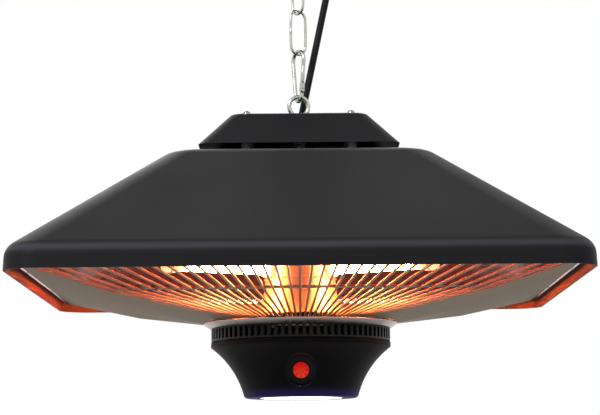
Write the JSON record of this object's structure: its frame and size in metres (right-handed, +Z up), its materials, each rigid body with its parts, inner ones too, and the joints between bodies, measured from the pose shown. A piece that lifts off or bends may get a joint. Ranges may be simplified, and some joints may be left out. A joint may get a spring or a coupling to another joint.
{
  "type": "hanging patio heater",
  "caption": "Square electric patio heater with halogen lamps behind a wire guard and a light below, hung on a short chain with a taut supply cable.",
  "frame": {"origin": "centre of the ceiling plate's upper face, on the axis of the heater", "axes": "+Z up, out of the ceiling plate; -Y is the front, the side with the red button; +X to the right"},
  "size_m": [0.425, 0.425, 0.3804],
  "materials": {
    "charcoal_coat": "fine matt powder coat, dark charcoal",
    "bright_steel": "bright polished reflector sheet",
    "guard_steel": "plated steel wire, satin",
    "zinc": "bright zinc plate",
    "screw_steel": "polished stainless steel",
    "cable_rubber": "smooth black rubber",
    "black_moulding": "near-black satin moulding",
    "red_lens": "clear red, lit from behind",
    "lamp_glass": "clear quartz tube, glowing",
    "lamp_glow": "glowing tungsten coil",
    "ceramic": "white ceramic",
    "frosted_lens": "frosted white lens, lit",
    "board_green": "green circuit board",
    "white_nylon": "white nylon"
  },
  "bodies": {
    "ceiling_mount": {"ceiling_plate": "charcoal_coat", "ceiling_hook": "zinc", "ceiling_nut": "zinc", "ceiling_gland": "cable_rubber"},
    "upper_link": {"chain_link_upper": "zinc"},
    "lower_link": {"chain_link_lower": "zinc"},
    "hook": {"snap_hook": "zinc", "gate_pin": "screw_steel"},
    "gate": {"hook_gate": "zinc"},
    "heater": {"button_bezel": "black_moulding", "canopy": "charcoal_coat", "cap_gland": "cable_rubber", "cap_posts": "charcoal_coat", "centre_spacer": "zinc", "column_flare": "bright_steel", "column_screws": "screw_steel", "column_tube": "bright_steel", "control_board": "board_green", "eye_bolt": "zinc", "eye_lower_nut": "zinc", "eye_nut": "zinc", "foot_screws": "screw_steel", "guard_clips": "guard_steel", "guard_collar": "bright_steel", "guard_middle_ring": "guard_steel", "guard_outer_frame": "guard_steel", "guard_wires": "guard_steel", "housing_cup": "black_moulding", "housing_plate": "black_moulding", "lamp_brackets": "bright_steel", "lamp_caps": "ceramic", "lamp_filaments": "lamp_glow", "lamp_sockets": "ceramic", "lamp_tubes": "lamp_glass", "light_board": "board_green", "light_lens": "frosted_lens", "pan_spacers": "zinc", "power_cable": "cable_rubber", "push_switch": "black_moulding", "reflector_pan": "bright_steel", "terminal_block": "white_nylon", "thermal_cutout": "ceramic", "tie_nuts": "screw_steel", "tie_screws": "screw_steel", "vent_cap": "charcoal_coat", "vent_ring": "black_moulding"},
    "button": {"red_button": "red_lens"}
  },
  "joints": [
    {"name": "upper_link_swing", "type": "hinge", "parent": "ceiling_mount", "child": "upper_link", "pos_m": [0, 0, -0.0382], "axis": [0.809, 0.5878, 0], "range_deg": [-25, 25]},
    {"name": "lower_link_swing", "type": "hinge", "parent": "upper_link", "child": "lower_link", "pos_m": [0, 0, -0.0706], "axis": [0.5878, -0.809, 0], "range_deg": [-25, 25]},
    {"name": "hook_swing", "type": "hinge", "parent": "lower_link", "child": "hook", "pos_m": [0, 0, -0.1039], "axis": [0.809, 0.5878, 0], "range_deg": [-25, 25]},
    {"name": "heater_swing", "type": "hinge", "parent": "hook", "child": "heater", "pos_m": [0, 0, -0.1421], "axis": [0.5, -0.866, 0], "range_deg": [-25, 25], "deforming": ["power_cable"]},
    {"name": "gate_swing", "type": "hinge", "parent": "hook", "child": "gate", "pos_m": [0.00256, -0.00444, -0.13397], "axis": [-0.866, -0.5, 0], "range_deg": [0, 28], "stiffness_Nm_per_rad": 0.0012, "springref_deg": -20.05},
    {"name": "button_press", "type": "slide", "parent": "heater", "child": "button", "axis": [0, 1, 0], "range_m": [0, 0.0015], "stiffness_N_per_m": 900, "springref_m": -0.0006}
  ]
}
